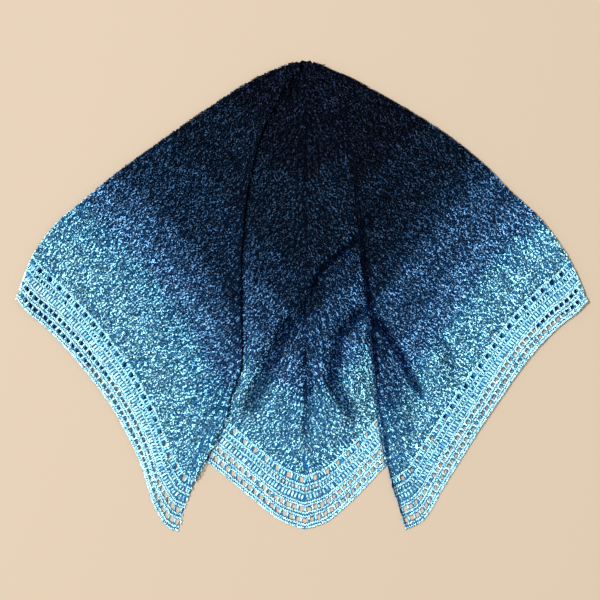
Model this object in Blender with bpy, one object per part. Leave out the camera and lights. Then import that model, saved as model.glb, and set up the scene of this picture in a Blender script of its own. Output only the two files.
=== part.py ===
"""A triangular crocheted shawl, laid flat with both wings folded forward over the back.

The shawl is worked from the middle of its long edge outwards, so every row is a V that runs
parallel to the two short sides. Laid out, it has three stretches: the back, which lies on the
surface, and the left and right wings, which turn over at a soft rolled fold and lie on it.
Each stretch has a close-worked body, an openwork border and a narrow edging.

Lengths here are in millimetres. X runs across the shawl, Y up its spine from the point at the
back to the neck, and Z up from the surface that it lies on. A place on a stretch is given by
its row, 0 at the neck and 1 at the outer edge, and by how far across the row it is.
"""

import bmesh
import bpy
import numpy as np

MM = 0.001

# Driving sizes of the cloth
CLOTH = 2.4  # thickness of the crocheted fabric
SEAM = 0.3  # gap between neighbouring pieces
DEPTH = 610.0  # neck to outer edge, square to the rows
NECK = 5.0  # the cloth starts this far from the neck
WING_NECK = 20.0  # and the wings, which are narrow there, start further down

# The rolled fold, where a wing turns over
FOLD_HEIGHT = 8.4
ROLL_TURNS = (-90, -45, 0, 45)  # degrees round the roll, up from its underside
LIP = 5.0  # the wing's cloth runs on under the roll, to the back
RELAX = 46.0  # the wing comes down from the roll within this distance
EDGE_LIFT = 3.4  # the long edges of the wings stand a little proud
LIFT_REACH = 14.0
DROP_START = 24.0  # past the back's edge, the wings come down to the surface
DROP_END = 80.0

# Rows of the border, as distances from the outer edge
EDGING_ROW = 8.2
OUTER_HOLES = {"start": 10.0, "end": 14.9}
INNER_HOLES = {"start": 23.8, "end": 28.9}
WIDE_HOLES = {"start": 60.8, "end": 67.0}
BORDER_ROW = 70.6

# Meshes of the openwork, counted from the fold to the long edge, or from fold to fold
WING_MESHES = {"left": 44, "right": 46}
BACK_MESHES = 101
BACK_TIP = {"first": 34, "last": 67}  # the meshes of the back that the wings leave open
HOLE_SHARE = 0.62  # of a mesh, with the stitches between the holes in the rest

# Grid of each body and of the hidden part of the back
CURVE_STEPS = 24  # from one point of an outline to the next
NORMAL_REACH = 0.01  # share of a curve that its normal is read over, to each side
SMOOTH_ROWS = 7  # cells from the neck down to where the soft folds start
FOLDED_ROWS = 22  # cells from there to the border
FOLDS_START = 366.0
BODY_COLUMNS = {"left": 14, "right": 18}
FINER_AT_FOLD = 1.35  # the columns of a wing lie closer together at its fold
BACK_COLUMNS = {"hidden": 4, "shown": 12}
BACK_SHOWN_FROM = 0.58  # share of the way from the fold to the spine
EDGING_COLUMNS = 24

# Outlines of the laid shawl in plan, a column for each coordinate, from the neck to the border
FOLDS = {
    "left": {
        "x": [8, -18, -70, -136, -227, -321, -360, -399, -441, -472],
        "y": [394, 385, 364, 324, 261, 192, 159, 127, 72, -6],
    },
    "right": {
        "x": [8, 34, 84, 131, 233, 301, 343, 389, 439, 472],
        "y": [394, 381, 359, 333, 271, 217, 174, 132, 63, -9],
    },
}
LONG_EDGES = {
    "left": {
        "x": [5, -10, -38, -63, -88, -100, -99, -101, -113, -126, -152, -184, -205],
        "y": [388, 372, 330, 277, 180, -22, -73, -125, -155, -205, -260, -324, -390],
    },
    "right": {
        "x": [12, 34, 60, 80, 92, 106, 124, 141, 171],
        "y": [388, 362, 318, 248, 136, -10, -173, -288, -387],
    },
}
SPINE = {"x": [8, 6, 6, 5], "y": [394, 150, -100, -386]}

# Outlines of the borders: on the wings from the fold to the tip, on the back to the point
WING_BORDERS = {
    "left": {
        "x": [-472, -457, -432, -367, -302, -269, -237, -221, -205],
        "y": [-6, -25, -46, -114, -205, -272, -361, -384, -390],
    },
    "right": {
        "x": [472, 457, 428, 378, 328, 279, 229, 197, 171],
        "y": [-9, -26, -49, -101, -170, -244, -325, -374, -387],
    },
}
BACK_BORDERS = {
    "left": {
        "x": [-472, -430, -385, -345, -317, -232, -160, -88, -26, 5],
        "y": [-6, -41, -88, -124, -140, -229, -273, -331, -376, -386],
    },
    "right": {
        "x": [472, 419, 388, 304, 218, 136, 76, 36, 5],
        "y": [-9, -38, -54, -140, -221, -284, -345, -376, -386],
    },
}

# How the rows crowd along each line: below 1 near its end, above 1 near its start
CROWDING = {"left fold": 0.89, "right fold": 0.94, "long edge": 1.065}
BOW = 1.7  # how soon the rows lose the curve of the border

# Soft ridges and troughs, a row for each: height in the middle, half-width, and path in plan
BACK_PUFF = {"height": 7.5, "top": 75, "rise": 90}
BACK_FOLDS = [
    {"height": 5.0, "width": 20, "x": [104, 60, 26], "y": [62, 22, -22]},
    {"height": -8.5, "width": 11, "x": [94, 50, 23, 8], "y": [100, 54, 19, -36]},
    {"height": -7.0, "width": 12, "x": [-8, -38, -59, -94], "y": [-38, -90, -133, -206]},
    {"height": -5.5, "width": 9, "x": [6, 6, 5], "y": [-44, -138, -242]},
    {"height": -8.0, "width": 12, "x": [96, 68, 61, 74, 82], "y": [-30, -62, -125, -176, -222]},
]
WING_FOLDS = {
    "left": [
        {"height": 2.5, "width": 34, "x": [-150, -160, -176], "y": [20, -90, -190]},
    ],
    "right": [
        {"height": 4.5, "width": 30, "x": [126, 172, 216, 238], "y": [2, -60, -130, -180]},
        {"height": 4.5, "width": 26, "x": [118, 146, 164], "y": [-60, -118, -178]},
        {"height": -7.5, "width": 12, "x": [108, 139, 167, 185, 199], "y": [-18, -55, -98, -133, -170]},
        {"height": -3.5, "width": 10, "x": [222, 241, 255], "y": [-52, -98, -142]},
        {"height": 3.0, "width": 26, "x": [196, 160, 118], "y": [206, 158, 104]},
        {"height": -4.5, "width": 11, "x": [168, 139, 100], "y": [202, 164, 120]},
    ],
}
FOLD_FADE = {"reach": 0.22, "left at the end": 0.25}  # shares of a soft fold's length and of its rise
CALM_BORDER = {"start": 74, "end": 122}  # the folds die away between these distances from the edge
LIFT_FADE = {"start": 0.8, "end": 0.95}  # rows over which the long edges come down again
EDGE_MARGIN = 22.0  # the back lies flat within this distance of a wing's edge

YARN = {
    "body": (0.028, 0.085, 0.180),
    "border": (0.290, 0.560, 0.760),
    "edging": (0.360, 0.640, 0.820),
}

ROLL_RADIUS = (FOLD_HEIGHT - CLOTH) / 2
ROLL_INSET = FOLD_HEIGHT / 2


def smoothstep(x):
    """0 below 0, 1 above 1, and a smooth rise between."""
    x = np.clip(x, 0, 1)
    return x * x * (3 - 2 * x)


class Line:
    """A smooth plan curve through a few points, read by its share of length."""

    def __init__(self, table):
        knots = np.array([table["x"], table["y"]], float).T
        steps = np.linalg.norm(np.diff(knots, axis=0), axis=1)
        slopes = np.gradient(knots, np.append(0, np.cumsum(steps)), axis=0)
        pieces = [knots[:1]]
        for i, step in enumerate(steps):
            u = np.linspace(0, 1, CURVE_STEPS + 1)[1:, None]
            start = (2 * u**3 - 3 * u**2 + 1) * knots[i] + (u**3 - 2 * u**2 + u) * step * slopes[i]
            end = (3 * u**2 - 2 * u**3) * knots[i + 1] + (u**3 - u**2) * step * slopes[i + 1]
            pieces.append(start + end)
        self.points = np.concatenate(pieces)
        run = np.linalg.norm(np.diff(self.points, axis=0), axis=1)
        self.share = np.append(0, np.cumsum(run)) / run.sum()

    def at(self, share):
        return np.stack([np.interp(share, self.share, axis) for axis in self.points.T], axis=-1)

    def inward(self, share):
        """Unit normal, on the side of the middle of the shawl."""
        ahead = self.at(np.minimum(share + NORMAL_REACH, 1))
        along = ahead - self.at(np.maximum(share - NORMAL_REACH, 0))
        normal = np.stack([-along[..., 1], along[..., 0]], axis=-1)
        normal /= np.linalg.norm(normal, axis=-1, keepdims=True)
        facing = np.sum(normal * -self.at(share), axis=-1, keepdims=True)
        return normal * np.sign(facing)

    def nearest(self, points):
        """Distance of each point from the curve, and the share where it is nearest."""
        gaps = np.linalg.norm(points[..., None, :] - self.points, axis=-1)
        closest = gaps.argmin(axis=-1)
        return gaps.min(axis=-1), self.share[closest]

    def rows(self, border):
        """The row at each point of the curve, from its distance to the border's chord."""
        start, end = border.points[0], border.points[-1]
        across = np.array([start[1] - end[1], end[0] - start[0]])
        gaps = np.abs((self.points - start) @ across)
        return 1 - gaps / gaps[0]


class Stretch:
    """Plan of one stretch between two side lines, whose rows end as the border's outline."""

    def __init__(self, start, end, border, start_rows, end_rows):
        self.start, self.end, self.border = start, end, border
        self.start_rows, self.end_rows = start_rows, end_rows

    def plan(self, row, across, inset):
        """Plan points, with the start line moved inwards by an inset."""
        start_row = row ** self.start_rows["crowding"]
        share = np.interp(start_row, self.start_rows["rows"], self.start.share)
        start = self.start.at(share) + self.start.inward(share) * np.expand_dims(inset, -1)
        end_row = row ** self.end_rows["crowding"]
        end = self.end.at(np.interp(end_row, self.end_rows["rows"], self.end.share))
        first, last = self.border.points[0], self.border.points[-1]
        along = np.expand_dims(across, -1)
        bow = self.border.at(across) - (1 - along) * first - along * last
        return (1 - along) * start + along * end + bow * np.expand_dims(row, -1) ** BOW


def make_wing(side):
    fold, edge, border = Line(FOLDS[side]), Line(LONG_EDGES[side]), Line(WING_BORDERS[side])
    fold_rows = {"rows": fold.rows(border), "crowding": CROWDING[side + " fold"]}
    edge_rows = {"rows": edge.rows(border), "crowding": CROWDING["long edge"]}
    return Stretch(fold, edge, border, fold_rows, edge_rows)


def make_back(side, spine):
    wing = WINGS[side]
    spine_rows = {"rows": spine.share, "crowding": 1.0}
    return Stretch(wing.start, spine, Line(BACK_BORDERS[side]), wing.start_rows, spine_rows)


WINGS = {side: make_wing(side) for side in ("left", "right")}
BACKS = {side: make_back(side, Line(SPINE)) for side in ("left", "right")}
for fold in BACK_FOLDS + WING_FOLDS["left"] + WING_FOLDS["right"]:
    fold["line"] = Line(fold)


def clear_of_border(row):
    """0 at the border and 1 well inside it."""
    start, end = CALM_BORDER["start"], CALM_BORDER["end"]
    return smoothstep(((1 - row) * DEPTH - start) / (end - start))


def soft_folds(points, folds):
    """Summed height of the soft ridges and troughs at plan points."""
    total = np.zeros(points.shape[:-1])
    for fold in folds:
        gap, share = fold["line"].nearest(points)
        from_end = np.minimum(share, 1 - share) / FOLD_FADE["reach"]
        ends = smoothstep(from_end + FOLD_FADE["left at the end"])
        total += fold["height"] * ends * np.exp(-((gap / fold["width"]) ** 2))
    return total


def between_wings(points):
    """1 well inside the gap between the wings' long edges, and 0 at either of them."""
    inside = 1.0
    for side, sign in (("left", 1), ("right", -1)):
        edge = WINGS[side].end.points[::-1]
        reach = sign * (points[..., 0] - np.interp(points[..., 1], edge[:, 1], edge[:, 0]))
        inside = inside * smoothstep(reach / EDGE_MARGIN)
    return inside


def back_height(row, points):
    """How far the back's cloth stands off the surface."""
    puff = BACK_PUFF
    rise = smoothstep((puff["top"] - points[..., 1]) / puff["rise"])
    height = np.maximum(puff["height"] * rise + soft_folds(points, BACK_FOLDS), 0)
    return height * clear_of_border(row) * between_wings(points)


def past_back(side, points):
    """How far a wing reaches past the back's outer edge."""
    border = BACKS[side].border
    gap, share = border.nearest(points)
    offset = points - border.at(share)
    outside = np.sum(offset * border.inward(share), axis=-1) < 0
    return np.where(outside, gap, 0)


def wing_height(side, row, points):
    """Height of the middle of a wing's cloth above the surface."""
    wing = WINGS[side]
    drop = smoothstep((past_back(side, points) - DROP_START) / (DROP_END - DROP_START))
    rest = CLOTH / 2 + (CLOTH + SEAM) * (1 - drop)
    nothing = np.zeros_like(row)
    inset = nothing + ROLL_INSET
    from_fold = np.linalg.norm(points - wing.plan(row, nothing, inset), axis=-1)
    loft = (FOLD_HEIGHT - CLOTH / 2 - rest) * (1 - smoothstep(from_fold / RELAX))
    to_edge = np.linalg.norm(points - wing.plan(row, nothing + 1, inset), axis=-1)
    fading = smoothstep((row - LIFT_FADE["start"]) / (LIFT_FADE["end"] - LIFT_FADE["start"]))
    lift = EDGE_LIFT * np.exp(-to_edge / LIFT_REACH) * (1 - fading)
    folds = soft_folds(points, WING_FOLDS[side]) * smoothstep(from_fold / (2 * RELAX))
    folds = folds * clear_of_border(row)
    return rest + np.maximum(loft + lift + folds, 0)


def wing_points(side, row, column):
    """Middle of a wing's cloth. Columns below 0 count back round the roll to the lip."""
    turns = np.radians(np.array(ROLL_TURNS + (90,)))
    round_roll = np.clip(column + len(ROLL_TURNS), 0, len(ROLL_TURNS))
    turn = np.interp(round_roll, np.arange(len(turns)), turns)
    lip = np.where(column < -len(ROLL_TURNS), LIP, 0)
    inset = ROLL_INSET - ROLL_RADIUS * np.cos(turn) + lip
    points = WINGS[side].plan(row, np.maximum(column, 0), inset)
    rolled = FOLD_HEIGHT / 2 + ROLL_RADIUS * np.sin(turn)
    height = np.where(column < 0, rolled, wing_height(side, row, points))
    return np.concatenate([points, height[..., None]], axis=-1)


def back_points(row, column):
    """Middle of the back's cloth. The column runs from -1 at the left fold to 1 at the right."""
    inset = (ROLL_INSET + LIP + SEAM) * smoothstep(row * DEPTH / WING_NECK)
    left = BACKS["left"].plan(row, 1 - np.abs(column), inset)
    right = BACKS["right"].plan(row, 1 - np.abs(column), inset)
    points = np.where(column[..., None] < 0, left, right)
    height = CLOTH / 2 + back_height(row, points)
    return np.concatenate([points, height[..., None]], axis=-1)


def rows_between(start, end, cells):
    """Rows from one distance from the outer edge to another."""
    return list(1 - np.linspace(start, end, cells + 1) / DEPTH)


def body_rows():
    """Rows of a body, closer together where the soft folds are."""
    smooth = rows_between(DEPTH - WING_NECK, FOLDS_START, SMOOTH_ROWS)
    return smooth[:-1] + rows_between(FOLDS_START, BORDER_ROW + SEAM / 2, FOLDED_ROWS)


def border_rows():
    """Rows of the border, at both ends of each row of holes."""
    distances = [BORDER_ROW - SEAM / 2]
    for holes in (WIDE_HOLES, INNER_HOLES, OUTER_HOLES):
        distances += [holes["end"], holes["start"]]
    distances.append(EDGING_ROW + SEAM / 2)
    return [1 - distance / DEPTH for distance in distances]


def mesh_columns(first, last):
    """Where each hole between two meshes starts and ends, counted in meshes."""
    rim = (1 - HOLE_SHARE) / 2
    return [mesh + side for mesh in range(first, last) for side in (rim, 1 - rim)]


def border_holes(before, meshes):
    """Cells that are left open, given how many cells lie before the first hole."""
    every = {before + 2 * mesh for mesh in range(meshes)}
    second = {before + 2 * mesh for mesh in range(0, meshes, 2)}
    cells = {1: second, 3: every, 5: every}
    return {(row, column) for row, columns in cells.items() for column in columns}


def make_material(name, colour):
    material = bpy.data.materials.new(name)
    material.use_nodes = True
    shader = material.node_tree.nodes["Principled BSDF"]
    shader.inputs["Base Color"].default_value = (*colour, 1)
    shader.inputs["Roughness"].default_value = 0.85
    material.diffuse_color = (*colour, 1)
    return material


def on_seams(points, seams):
    """The same points, with each seam's row on the straight runs between that seam's columns."""

    def placed(row, column):
        places = points(row, column)
        for seam in seams:
            on_row = np.full(len(seam["columns"]), seam["row"])
            knots = points(on_row, np.array(seam["columns"], float))
            here = row == seam["row"]
            for axis in range(3):
                places[here, axis] = np.interp(column[here], seam["columns"], knots[:, axis])
        return places

    return placed


def cloth_wall(name, rows, columns, points, colour, holes=()):
    """A wall of cloth over a grid of rows and columns, with some cells left open."""
    bm = bmesh.new()
    bmesh.ops.create_grid(bm, x_segments=len(columns) - 1, y_segments=len(rows) - 1, size=0.5)
    spans = np.array([len(columns) - 1, len(rows) - 1])
    gaps = []
    for face in bm.faces:
        column, row = np.floor((np.array(face.calc_center_median()[:2]) + 0.5) * spans).astype(int)
        if (row, column) in holes:
            gaps.append(face)
    at = np.array([vert.co[:2] for vert in bm.verts]) + 0.5
    column, row = np.rint(at * spans).astype(int).T
    placed = points(np.array(rows)[row], np.array(columns, float)[column]) * MM
    for vert, place in zip(bm.verts, placed):
        vert.co = place
    bmesh.ops.delete(bm, geom=gaps, context="FACES")
    bm.normal_update()
    if sum(face.normal.z * face.calc_area() for face in bm.faces) < 0:
        bmesh.ops.reverse_faces(bm, faces=bm.faces)
    mesh = bpy.data.meshes.new(name)
    bm.to_mesh(mesh)
    bm.free()
    mesh.materials.append(make_material(name + " yarn", colour))
    wall = bpy.data.objects.new(name, mesh)
    bpy.context.scene.collection.objects.link(wall)
    thickness = wall.modifiers.new("cloth", "SOLIDIFY")
    thickness.thickness = CLOTH * MM
    thickness.offset = 0.0
    thickness.use_even_offset = True
    return wall


def nearest_columns(columns, wanted):
    """The columns of a border that lie nearest to the wanted ones."""
    return sorted({min(columns, key=lambda column: abs(column - place)) for place in wanted})


def make_pieces(name, border_columns, open_cells, points, body, edging):
    """Body, border and edging of a stretch. The border follows its neighbours' seams."""
    body_columns = nearest_columns(border_columns, body["columns"])
    edging_columns = nearest_columns(border_columns, edging["columns"])
    rows = border_rows()
    seams = [
        {"row": rows[0], "columns": body_columns},
        {"row": rows[-1], "columns": edging_columns},
    ]
    border_points = on_seams(points, seams)
    cloth_wall(name + "_body", body["rows"], body_columns, points, YARN["body"])
    cloth_wall(name + "_border", rows, border_columns, border_points, YARN["border"], open_cells)
    cloth_wall(name + "_edging", edging["rows"], edging_columns, points, YARN["edging"])


def make_wing_pieces(side):
    """Pieces of one wing, each with its own stretch of the roll."""
    roll = list(range(-len(ROLL_TURNS) - 1, 0))
    meshes = WING_MESHES[side]
    holes = np.array(mesh_columns(1, meshes - 1)) / meshes
    body = {
        "rows": body_rows(),
        "columns": roll + list(np.linspace(0, 1, BODY_COLUMNS[side] + 1) ** FINER_AT_FOLD),
    }
    edging = {
        "rows": rows_between(EDGING_ROW - SEAM / 2, 0, 1),
        "columns": roll + list(np.linspace(0, 1, EDGING_COLUMNS + 1)),
    }
    open_cells = border_holes(len(roll) + 1, meshes - 2)

    def points(row, column):
        return wing_points(side, row, column)

    make_pieces(side + "_wing", roll + [0, *holes, 1], open_cells, points, body, edging)


def make_back_pieces():
    """Pieces of the back, which run from fold to fold."""
    hidden = list(np.linspace(0, BACK_SHOWN_FROM, BACK_COLUMNS["hidden"], endpoint=False))
    shown = list(np.linspace(BACK_SHOWN_FROM, 1, BACK_COLUMNS["shown"], endpoint=False))
    left = [across - 1 for across in hidden + shown]
    columns = left + [0] + [-across for across in reversed(left)]
    body = {"rows": [NECK / DEPTH] + body_rows(), "columns": columns}
    first, last = BACK_TIP["first"], BACK_TIP["last"]
    holes = list(np.array(mesh_columns(first, last)) / BACK_MESHES * 2 - 1)
    before = [column for column in columns if column < holes[0]]
    after = [column for column in columns if column > holes[-1]]
    edging = {
        "rows": rows_between(EDGING_ROW - SEAM / 2, 0, 1),
        "columns": before + list(np.linspace(holes[0], holes[-1], EDGING_COLUMNS + 1)) + after,
    }
    open_cells = border_holes(len(before), last - first)
    make_pieces("back", before + holes + after, open_cells, back_points, body, edging)


def main():
    for leftover in list(bpy.data.objects):
        bpy.data.objects.remove(leftover, do_unlink=True)
    make_back_pieces()
    make_wing_pieces("left")
    make_wing_pieces("right")


main()
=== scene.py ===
"""The looks of a crocheted triangular shawl, laid flat with both wings folded over the back.

The cloth has the outlines and rolled folds of its solids, and their main soft folds with finer
ones beside them. Each stretch of it, the back and the two wings, is a thin ground cloth with the
holes of the openwork left open, and real stitches of yarn on it: rows of clusters on the body, and
meshes, bars and short stitches on the border and its edging.

Cloth lengths are in millimetres and become metres in each mesh. A place on a stretch is given by
its row, 0 at the neck and 1 at the outer edge, and by its column, 0 at the fold and 1 at the long
edge or the spine. Columns below 0 go back round the rolled fold.
"""

import bmesh
import bpy
import numpy as np
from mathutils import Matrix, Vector


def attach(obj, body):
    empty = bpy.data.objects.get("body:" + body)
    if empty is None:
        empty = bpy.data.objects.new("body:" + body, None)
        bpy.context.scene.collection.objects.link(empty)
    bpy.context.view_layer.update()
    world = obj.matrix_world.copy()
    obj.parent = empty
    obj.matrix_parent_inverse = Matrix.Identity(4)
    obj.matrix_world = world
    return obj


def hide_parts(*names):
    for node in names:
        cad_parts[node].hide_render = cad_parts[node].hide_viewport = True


MM = 0.001

# Driving sizes and outlines of the cloth, as in its solids
CLOTH = 2.4
SEAM = 0.3
DEPTH = 610.0
WING_NECK = 20.0
WING_SHOWN = 10.0  # the wings' cloth starts this far from the neck
NECK = 5.0
FOLD_HEIGHT = 8.4
ROLL_TURNS = (-90, -45, 0, 45)
LIP = 5.0
RELAX = 46.0
EDGE_LIFT = 3.4
LIFT_REACH = 14.0
DROP_START = 24.0
DROP_END = 80.0
CURVE_STEPS = 24
NORMAL_REACH = 0.01
SIDES = ("left", "right")

FOLDS = {
    "left": {
        "x": [8, -18, -70, -136, -227, -321, -360, -399, -441, -472],
        "y": [394, 385, 364, 324, 261, 192, 159, 127, 72, -6],
    },
    "right": {
        "x": [8, 34, 84, 131, 233, 301, 343, 389, 439, 472],
        "y": [394, 381, 359, 333, 271, 217, 174, 132, 63, -9],
    },
}
LONG_EDGES = {
    "left": {
        "x": [5, -10, -38, -63, -88, -100, -99, -101, -113, -126, -152, -184, -205],
        "y": [388, 372, 330, 277, 180, -22, -73, -125, -155, -205, -260, -324, -390],
    },
    "right": {
        "x": [12, 34, 60, 80, 92, 106, 124, 141, 171],
        "y": [388, 362, 318, 248, 136, -10, -173, -288, -387],
    },
}
SPINE = {"x": [8, 6, 6, 5], "y": [394, 150, -100, -386]}
WING_BORDERS = {
    "left": {
        "x": [-472, -457, -432, -367, -302, -269, -237, -221, -205],
        "y": [-6, -25, -46, -114, -205, -272, -361, -384, -390],
    },
    "right": {
        "x": [472, 457, 428, 378, 328, 279, 229, 197, 171],
        "y": [-9, -26, -49, -101, -170, -244, -325, -374, -387],
    },
}
BACK_BORDERS = {
    "left": {
        "x": [-472, -430, -385, -345, -317, -232, -160, -88, -26, 5],
        "y": [-6, -41, -88, -124, -140, -229, -273, -331, -376, -386],
    },
    "right": {
        "x": [472, 419, 388, 304, 218, 136, 76, 36, 5],
        "y": [-9, -38, -54, -140, -221, -284, -345, -376, -386],
    },
}
CROWDING = {"left fold": 0.89, "right fold": 0.94, "long edge": 1.065}
BOW = 1.7

# Soft ridges and troughs, and bands of painted shade, a row for each: height in the middle,
# half-width, share of the light that is painted out of the colour in it as shade, and x and y of
# its path. A row of height 0 is only painted shade. The row marked True also paints its shade on
# the border.
BACK_PUFF = {"height": 9.0, "top": 190, "rise": 130}
BACK_CREASES = [
    (-6.5, 6.5, 0.95, [112, 92, 59, 37, 18, 10], [114, 96, 68, 48, 17, -2]),
    (-3.0, 13, 0.6, [34, 12, 0, -12], [20, -6, -30, -44]),
    (4.0, 12, 0, [100, 78, 56, 38], [66, 38, 12, -16]),
    (2.5, 10, 0, [70, 40, 16], [106, 82, 54]),
    (-7.0, 14, 0.82, [-8, -22, -38, -60, -85, -102], [-26, -48, -77, -127, -176, -208]),
    (0.0, 20, 0.3, [-56, -72, -92], [-60, -120, -200]),
    (5.0, 11, 0, [-44, -70, -96, -114], [-40, -92, -150, -200]),
    (2.5, 14, 0, [4, -24, -52], [-76, -136, -200]),
    (-4.0, 8, 0.6, [6, 9, 9, 2], [-80, -140, -190, -240]),
    (-7.0, 12, 0.88, [122, 100, 68, 55, 51, 56, 70, 83, 74],
     [-12, -27, -58, -93, -132, -152, -176, -200, -222]),
    (5.0, 11, 0, [104, 88, 80, 94], [-50, -88, -134, -190]),
    (3.0, 12, 0, [40, 28, 38], [-62, -130, -187]),
    (0.0, 9, 0.6, [2, -8, -20, -32], [386, 366, 346, 318]),
]
WING_CREASES = {
    "left": [
        (3.0, 30, 0, [-150, -160, -176], [20, -90, -190]),
        (3.0, 18, 0, [-124, -128, -142, -168], [60, -40, -140, -220]),
        (2.5, 22, 0, [-210, -260, -300], [180, 90, 10]),
        (2.5, 18, 0, [-250, -232, -222], [-30, -110, -190]),
    ],
    "right": [
        (7.0, 26, 0, [150, 186, 226, 244], [2, -60, -130, -180]),
        (0.0, 20, 0.4, [118, 138, 162, 172], [-60, -120, -190, -260]),
        (6.0, 15, 0, [124, 142, 164], [-74, -124, -184]),
        (4.0, 14, 0, [118, 124, 132, 142], [118, 57, 4, -30]),
        (-6.0, 5.5, 0.92, [97, 98, 102, 109, 116, 121, 128], [150, 110, 57, 4, -40, -90, -150]),
        (0.0, 3.2, 0.92, [111, 117, 123, 134, 145, 157, 168, 178],
         [-20, -90, -150, -225, -290, -335, -370, -400], True),
        (-9.0, 7.5, 0.92, [108, 122, 139, 156, 178, 200], [-20, -38, -62, -88, -132, -170]),
        (-5.0, 8, 0.6, [224, 233, 252, 262], [-66, -84, -132, -156]),
        (4.0, 20, 0, [196, 160, 122], [212, 166, 120]),
        (-5.0, 9, 0.6, [168, 139, 92], [206, 164, 104]),
        (3.5, 18, 0, [300, 270, 262], [60, 0, -90]),
    ],
}
EDGE_SHADE = {"most": 0.9, "reach": 6.0}  # under the wings' long edges and beyond them
FOLD_FADE = {"reach": 0.22, "left at the end": 0.25}
SHADE_BREADTH = 1.5  # the shade is even over the middle of a trough
CALM_BORDER = {"start": 74, "end": 122}
LIFT_FADE = {"start": 0.8, "end": 0.95}
EDGE_MARGIN = 22.0
ROLL_RADIUS = (FOLD_HEIGHT - CLOTH) / 2
ROLL_INSET = FOLD_HEIGHT / 2

# Stitches
BODY_ROW = 9.2  # height of a row of clusters
CLUSTER = 12.2  # from one cluster to the next
TALL_PER_CLUSTER = 3
GATHERED = 0.72  # how far the feet of a cluster stand apart, as a share of its heads
STRAND_SIDES = 3
STRAND_ENDS = 0.7  # thickness of a strand's ends, as a share of its middle's
STRAND_REACH = 0.04
# A strand's sides and ends in its strip of the bake's map: where each starts, and its size
MAP_ALONG = (0.1, 0.8)
MAP_ROUND = (0.08, 0.84)
MAP_END = {"middle": 0.05, "size": 0.02, "apart": 0.9}
# How much the stitches differ from each other
SPREAD = {"turn": 0.13, "width": 0.1, "height": 0.06, "place": 0.45, "bend": 0.6}
LIFT = (-0.2, 0.4)
BORDER_WILD = 0.6  # the border's stitches differ less than the body's
BORDER_START = 70.6  # width of the border with its edging
ROLL_REACH = 6.5  # stitches go this far round the rolled fold
HIDDEN_MARGIN = 13.0  # the back's stitches go this far under a wing
NECK_SHOWN = 370.0  # the back also shows beyond this, between the wings' folds
LOWER_ROWS = 20  # rows of clusters in a stretch's lower piece
LOWEST = 0.6  # stitches stay above this
BODY_ROWS = 60

# Meshes of the border from the fold to the long edge or the spine. The back's middle mesh
# straddles the spine, so it is counted there from its middle.
MESHES = {"wing": {"left": 44, "right": 46}, "back": 50.5}
MESH = 10.6  # usual width of a mesh
MIDDLE_OF_MESH = 0.5
PER_MESH = {"short": 3, "bars": 2}

# Rows of the border, from the outer edge inwards: stitch, outer and inner side in millimetres
# from the edge, and the kind of holes between posts
BANDS = [
    ("short", 0.4, 4.5),
    ("short", 4.7, 8.8),
    ("posts", 8.8, 16.0, "outer"),
    ("short", 15.2, 19.0),
    ("short", 19.6, 23.4),
    ("posts", 22.8, 30.0, "inner"),
    ("short", 29.2, 32.8),
    ("short", 33.0, 36.4),
    ("bars", 35.8, 46.0),
    ("short", 45.8, 49.6),
    ("posts", 49.2, 55.6, "small"),
    ("short", 55.0, 59.4),
    ("posts", 59.4, 68.4, "wide"),
    ("short", 67.0, 71.4),
]
EDGING_BANDS = 2
# Where the posts beside each kind of hole stand, in meshes, and every how many meshes they repeat
POSTS = {
    "outer": {"at": [0.0], "every": 1},
    "inner": {"at": [0.5], "every": 1},
    "small": {"at": [0.25, 0.75], "every": 1},
    "wide": {"at": [-0.55, 0.55, 1.0], "every": 2},
}

# Ground cloth under the stitches
GROUND_TOP = -0.15
GROUND_THICK = 1.0
GROUND_CELL = 5.5
WING_WIDTH = 490.0
WING_COLUMNS = np.concatenate([np.arange(-4, 0, 0.5), np.linspace(0, 1, 140)])
BACK_FINE_FROM = 0.6  # the back's columns are finer from here to the spine
EDGE_INSET = 2.0  # the ground ends this far inside the stitches' edge
HOLE_WAVER = 0.7
BACK_HOLES_FROM = 0.67  # the border's holes are open from this column to the spine
# Strips of the border's ground, from the outer edge inwards: where each begins, and its holes
STRIPS = [
    (EDGE_INSET, None), (5.0, None), (9.6, "outer"), (15.2, None), (19.4, None),
    (23.4, "inner"), (29.4, None), (33.4, None), (41.5, None), (50.2, "small"),
    (54.6, None), (60.3, "wide"), (67.3, None),
]
# Cells across a mesh: where each begins, the holes that take it in, and the mesh whose wide hole
# does, counted from this one
MESH_CELLS = [
    (-0.14, {"inner", "small"}, 0),
    (0.14, {"inner", "outer"}, 0),
    (0.36, {"outer", "small"}, None),
    (0.64, {"outer", "inner"}, 1),
]
NARROWEST_CELL = 0.1
CLOSED_AT_FOLD = 0.5  # meshes left closed beside the fold

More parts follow.
